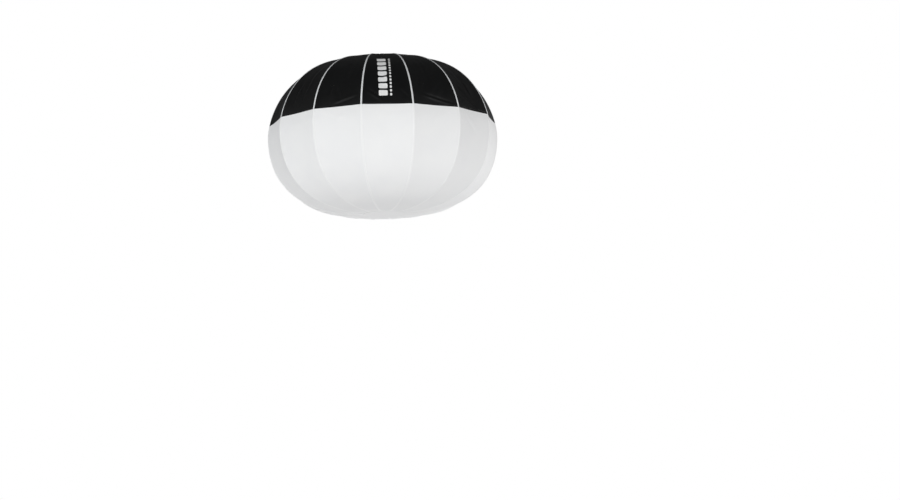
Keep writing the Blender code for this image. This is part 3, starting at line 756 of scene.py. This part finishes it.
def strip(name, rib, start, end, widths, raised, look, body):
    """Tape over the ridge, from start to end along it."""
    profile = [(-a, h) for a, h in TAPE_HALF_PROFILE[:0:-1]] + TAPE_HALF_PROFILE
    across, height = np.array(profile).T
    loop_across = np.concatenate([across, TAPE_UNDERSIDE])
    loop_height = np.concatenate([height * raised, np.full(len(TAPE_UNDERSIDE), TAPE_CLEARANCE)])
    s = spaced(start, end, TAPE_GRID)
    rows, columns = len(loop_across), len(s)
    half = np.linspace(*widths, columns) / 2
    grid_v = loop_across[:, None] * half[None] / (chord(s)[None] / 2)
    grid_s = np.repeat(s[None], rows, 0)
    points, _ = cover_points(rib, grid_v, grid_s, -np.repeat(loop_height[:, None], columns, 1))
    quads, caps, _ = swept_faces(rows, columns)
    faces = quads[:, [0, 3, 2, 1]].tolist() + [cap[::-1].tolist() for cap in caps]
    mesh = bpy.data.meshes.new(name)
    mesh.from_pydata(points.reshape(-1, 3).tolist(), [], faces)
    mesh.shade_smooth()
    mesh.set_sharp_from_angle(angle=TAPE_SHARP)
    mesh.materials.append(look)
    across_tape = np.repeat(loop_across[:, None], columns, 1)
    set_vectors(mesh, "tape_at", np.stack([across_tape, grid_s, grid_s * 0], -1))
    made = placed(name, mesh, body)


def tapes(rib):
    """The pale binding tape on the black skirt, and the seam tape on the white diffuser."""
    number = f"{rib + 1:02}"
    binding_end = SKIRT_EDGE + BINDING_PAST_HEM
    strip(f"binding_tape_{number}", rib, BINDING_START, binding_end, BINDING_WIDTHS,
          BINDING_RAISED, LOOKS["tape"], f"upper_{number}")
    strip(f"seam_tape_upper_{number}", rib, binding_end, EQUATOR, (SEAM_WIDTHS[0],) * 2,
          SEAM_RAISED, LOOKS["seam"], f"upper_{number}")
    strip(f"seam_tape_lower_{number}", rib, EQUATOR, FOOT + SEAM_PAST_FOOT, SEAM_WIDTHS,
          SEAM_RAISED, LOOKS["seam"], f"lower_{number}")


# The patch's rings, as (radius, how far it hangs below PATCH_Z), with a hem at its edge
PATCH_RINGS = [
    (0.02, 0.0), (0.045, 0.0002), (0.07, 0.0002), (0.09, 0.0001), (0.100, 0.0001),
    (0.104, 0.0001), (0.1055, 0.0005), (0.107, 0.0006), (0.1115, 0.0006), (0.113, 0.0003),
]
PATCH_RIPPLE = 0.00025
PATCH_RIPPLE_FROM = 0.09


def bottom_patch():
    """The round patch that closes the cover under the hub, with a raised edge."""
    spokes = 8 * RIBS
    turn = np.arange(spokes) * 2 * math.pi / spokes
    rows = []
    for r, drop in PATCH_RINGS:
        ripple = PATCH_RIPPLE * np.sin(turn * RIBS) * min(1, r / PATCH_RIPPLE_FROM)
        rows.append(np.stack([r * np.cos(turn), r * np.sin(turn), PATCH_Z - drop + ripple], -1))
    lower = np.concatenate([[[0, 0, PATCH_Z]]] + rows)
    upper = lower[::-1].copy()
    upper[:, 2] = PATCH_Z + CLOTH
    points = np.concatenate([lower, upper])
    count = len(lower)
    last = 2 * count - 1

    def low(ring, i):
        return 1 + ring * spokes + i % spokes

    faces = []
    for i in range(spokes):
        faces.append([0, low(0, i + 1), low(0, i)])
        faces.append([last, last - low(0, i), last - low(0, i + 1)])
        for ring in range(len(rows) - 1):
            quad = [low(ring, i), low(ring, i + 1), low(ring + 1, i + 1), low(ring + 1, i)]
            faces += [quad, [last - k for k in quad[::-1]]]
        a, b = low(len(rows) - 1, i), low(len(rows) - 1, i + 1)
        faces.append([a, b, last - b, last - a])
    mesh = bpy.data.meshes.new("bottom_patch")
    mesh.from_pydata(points.tolist(), [], faces)
    mesh.shade_smooth()
    mesh.materials.append(LOOKS["diffuser"])
    set_vectors(mesh, "cloth_at", points)
    made = placed("bottom_patch", mesh, "hub")


for rib_number in range(RIBS):
    panels(rib_number)
    tapes(rib_number)
bottom_patch()


# ---------- finishes of the CAD nodes ----------

FINISHES = {
    "bayonet_ring": "aluminium", "speed_ring": "aluminium", "bayonet_screw": "steel",
    "ring_wire": "steel", "hub_wire": "steel", "collar_stop_ring": "steel", "hub_screw": "steel",
    "opening_collar": "plastic", "rib_holder": "plastic", "bottom_hub": "plastic",
    "hub_cover": "plastic", "release_button": "button", "rib_upper": "rod", "rib_lower": "rod",
}
SHARP = math.radians(35)
WELD = 0.00001


def round_shading():
    """Welds a faceted mesh and shades it smooth, except over edges sharper than SHARP."""
    tree = bpy.data.node_groups.new("round_shading", "GeometryNodeTree")
    for way in ("INPUT", "OUTPUT"):
        tree.interface.new_socket("Mesh", in_out=way, socket_type="NodeSocketGeometry")
    start, facets, weld, smooth, angle, soft, edges, end = (tree.nodes.new(kind) for kind in (
        "NodeGroupInput", "GeometryNodeRemoveAttribute", "GeometryNodeMergeByDistance",
        "GeometryNodeSetShadeSmooth", "GeometryNodeInputMeshEdgeAngle", "FunctionNodeCompare",
        "GeometryNodeSetShadeSmooth", "NodeGroupOutput"))
    facets.inputs["Name"].default_value = "custom_normal"
    weld.inputs["Distance"].default_value = WELD
    soft.operation = "LESS_THAN"
    soft.inputs["B"].default_value = SHARP
    edges.domain = "EDGE"
    chain = (start, facets, weld, smooth, edges, end)
    for one, other in zip(chain, chain[1:]):
        tree.links.new(one.outputs[0], other.inputs[0])
    tree.links.new(angle.outputs["Unsigned Angle"], soft.inputs["A"])
    tree.links.new(soft.outputs[0], edges.inputs["Shade Smooth"])
    return tree


ROUND = round_shading()
for node_name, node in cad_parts.items():
    for start_of_name, finish in FINISHES.items():
        if node_name.startswith(start_of_name):
            node.data.materials.clear()
            node.data.materials.append(LOOKS[finish])
            node.modifiers.new("round_shading", "NODES").node_group = ROUND


# ---------- light, floor and camera ----------

SKY_SIDE = (0.348, 0.351, 0.352)
SKY_TOP = (0.18, 0.18, 0.18)
SKY_BACK = (0.11, 0.11, 0.11)
FLOOR_GLOW = 0.36
# Azimuth from the front and elevation, in degrees, distance, size, power and colour
LIGHTS = {
    "key": (-22, -2, 7.0, 3.0, 171, (0.984, 0.998, 0.996)),
    "left": (-75, 12, 6.0, 3.0, 56, (0.98, 1.0, 1.01)),
    "right": (50, 5, 7.0, 3.0, 116, (1, 1, 0.996)),
    "rim": (132, -5, 5.0, 2.5, 89, (1, 1, 1)),
    "back": (180, -10, 6.0, 2.5, 90, (1, 1, 1)),
}


def area_light(name, azimuth, elevation, distance, size, power, colour):
    light = bpy.data.lights.new(name, "AREA")
    light.shape = "DISK"
    light.size = size
    light.energy = power
    light.color = colour
    made = bpy.data.objects.new(name, light)
    a, e = math.radians(azimuth), math.radians(elevation)
    back = Vector((math.sin(a) * math.cos(e), -math.cos(a) * math.cos(e), math.sin(e)))
    made.location = MIDDLE + back * distance
    made.rotation_mode = "QUATERNION"
    made.rotation_quaternion = (-back).to_track_quat("-Z", "Y")
    made.visible_camera = False
    bpy.context.scene.collection.objects.link(made)


def sky():
    """White to the camera. What lights the object is brightest low and in front, and darker
    overhead and behind."""
    world = bpy.data.worlds.new("studio")
    bpy.context.scene.world = world
    world.use_nodes = True
    tree = world.node_tree
    nodes, links = tree.nodes, tree.links
    split = nodes.new("ShaderNodeSeparateXYZ")
    links.new(nodes.new("ShaderNodeTexCoord").outputs["Generated"], split.inputs[0])
    shade = (*SKY_SIDE, 1)
    for axis, (start, end), colour in (("Z", SKY_RISE, SKY_TOP), ("Y", SKY_TURN, SKY_BACK)):
        ramp = nodes.new("ShaderNodeMapRange")
        ramp.interpolation_type = "SMOOTHSTEP"
        ramp.inputs["From Min"].default_value = start
        ramp.inputs["From Max"].default_value = end
        links.new(split.outputs[axis], ramp.inputs["Value"])
        mixed = nodes.new("ShaderNodeMixRGB")
        links.new(ramp.outputs["Result"], mixed.inputs["Fac"])
        mixed.inputs["Color2"].default_value = (*colour, 1)
        if isinstance(shade, tuple):
            mixed.inputs["Color1"].default_value = shade
        else:
            links.new(shade, mixed.inputs["Color1"])
        shade = mixed.outputs["Color"]
    seen = nodes.new("ShaderNodeMixRGB")
    seen.inputs["Color2"].default_value = (1, 1, 1, 1)
    links.new(nodes.new("ShaderNodeLightPath").outputs["Is Camera Ray"], seen.inputs["Fac"])
    links.new(shade, seen.inputs["Color1"])
    links.new(seen.outputs["Color"], nodes["Background"].inputs["Color"])


def studio():
    sky()
    for name, light in LIGHTS.items():
        area_light(name, *light)
    floor_mesh = bpy.data.meshes.new("floor")
    half = FLOOR_SIDE / 2
    floor_mesh.from_pydata(
        [(x * half, y * half, FLOOR_Z) for x, y in ((-1, -1), (1, -1), (1, 1), (-1, 1))],
        [], [(0, 1, 2, 3)],
    )
    floor = bpy.data.objects.new("floor", floor_mesh)
    paint = Look("pale_floor", (0.6, 0.6, 0.6), 0.9, Emission_Color=(1, 1, 1, 1))
    paint.set(Emission_Strength=FLOOR_GLOW)
    floor_mesh.materials.append(paint.material)
    bpy.context.scene.collection.objects.link(floor)
    bpy.context.scene.view_settings.view_transform = "Standard"


def camera():
    data = bpy.data.cameras.new("camera")
    data.lens = CAMERA_LENS
    data.sensor_width = SENSOR_WIDTH
    data.clip_end = CAMERA_FAR
    made = bpy.data.objects.new("camera", data)
    flat = math.cos(CAMERA_ELEVATION)
    made.location = MIDDLE + CAMERA_DISTANCE * Vector((
        math.sin(CAMERA_AZIMUTH) * flat, -math.cos(CAMERA_AZIMUTH) * flat, math.sin(CAMERA_ELEVATION),
    ))
    made.rotation_mode = "QUATERNION"
    look = (CAMERA_AIM - made.location).to_track_quat("-Z", "Y")
    made.rotation_quaternion = look @ Quaternion((0, 0, 1), CAMERA_ROLL)
    bpy.context.scene.collection.objects.link(made)
    bpy.context.scene.camera = made


studio()
camera()
